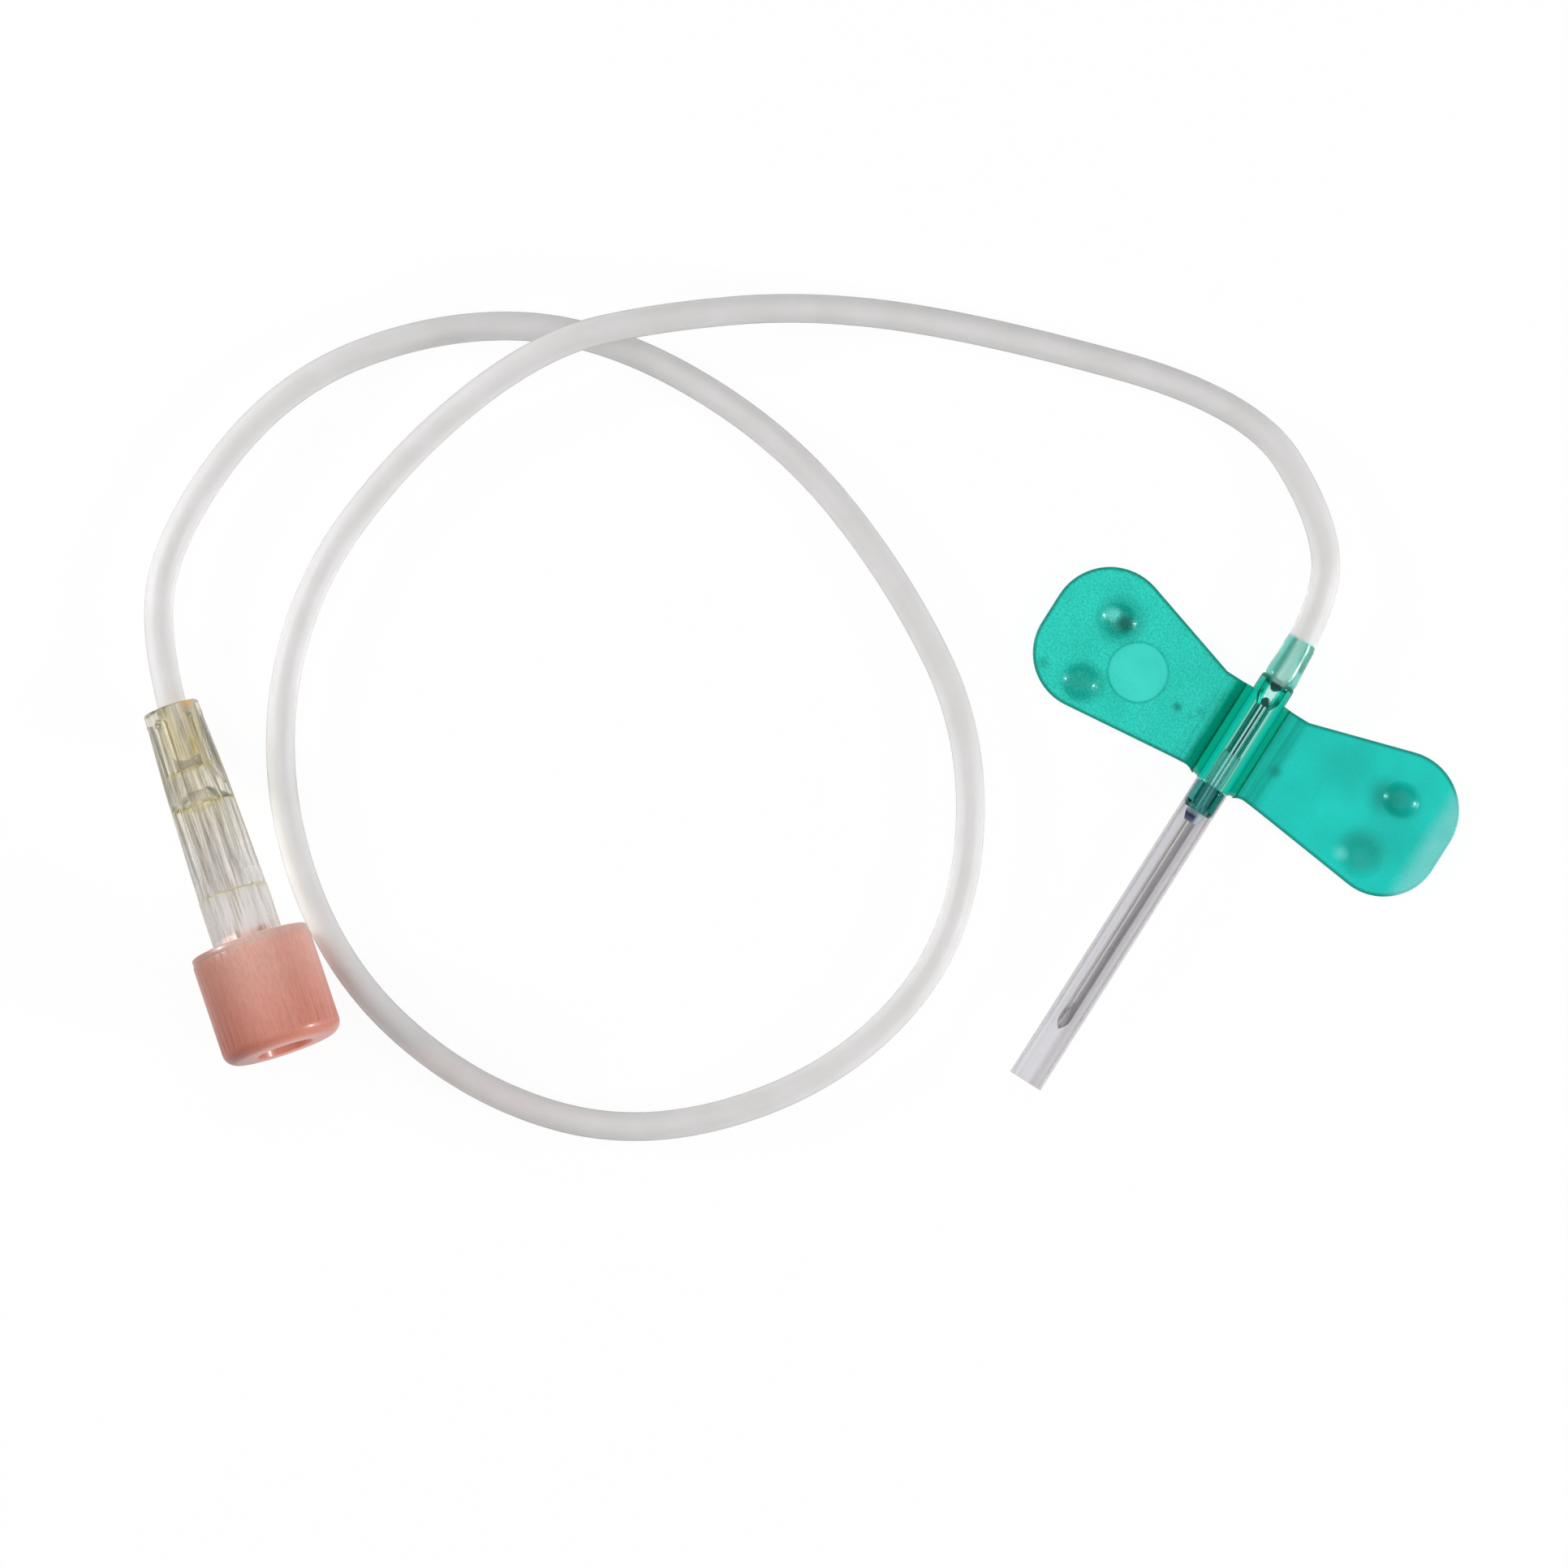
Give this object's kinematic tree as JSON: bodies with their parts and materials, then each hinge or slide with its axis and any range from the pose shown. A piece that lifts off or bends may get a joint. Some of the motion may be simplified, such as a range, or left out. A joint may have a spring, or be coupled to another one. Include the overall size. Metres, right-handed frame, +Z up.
{
  "type": "winged infusion set",
  "caption": "Winged needle set: flat folding wings on a hub, sheathed hollow needle, soft tubing and a capped female luer connector.",
  "frame": {"origin": "on the resting plane, under the middle of the footprint of the hub, wings, needle and sheath", "axes": "+Y along the hub's axis from the needle's point to the tubing, +Z up from the resting plane, the wings spread along X"},
  "size_m": [0.0941, 0.0827, 0.0099],
  "materials": {
    "wing_plastic": "translucent green, fine matt grain on the wings",
    "needle_steel": "drawn and polished steel",
    "adhesive": "clear glue, blue where it is thick",
    "sheath_plastic": "clear, faintly lilac",
    "tubing_plastic": "frosted, soft",
    "connector_plastic": "clear, faintly yellow",
    "cap_plastic": "pale salmon pink, semi-translucent, satin"
  },
  "bodies": {
    "hub": {"wing_hub": "wing_plastic", "needle": "needle_steel", "needle_adhesive": "adhesive", "tubing": "tubing_plastic", "luer_connector": "connector_plastic"},
    "left_wing": {"wing_left": "wing_plastic"},
    "right_wing": {"wing_right": "wing_plastic"},
    "sheath": {"needle_sheath": "sheath_plastic"},
    "cap": {"luer_cap": "cap_plastic"}
  },
  "joints": [
    {"name": "left_wing_fold", "type": "hinge", "parent": "hub", "child": "left_wing", "pos_m": [-0.0026, 0.0114, 0.0003], "axis": [0, 1, 0], "range_deg": [0, 95]},
    {"name": "right_wing_fold", "type": "hinge", "parent": "hub", "child": "right_wing", "pos_m": [0.0026, 0.0114, 0.0003], "axis": [0, -1, 0], "range_deg": [0, 95]},
    {"name": "sheath_pull", "type": "slide", "parent": "hub", "child": "sheath", "axis": [0, -1, 0], "range_m": [0, 0.026]},
    {"name": "cap_pull", "type": "slide", "parent": "hub", "child": "cap", "axis": [0.7751, -0.6188, 0.1277], "range_m": [0, 0.012]}
  ]
}
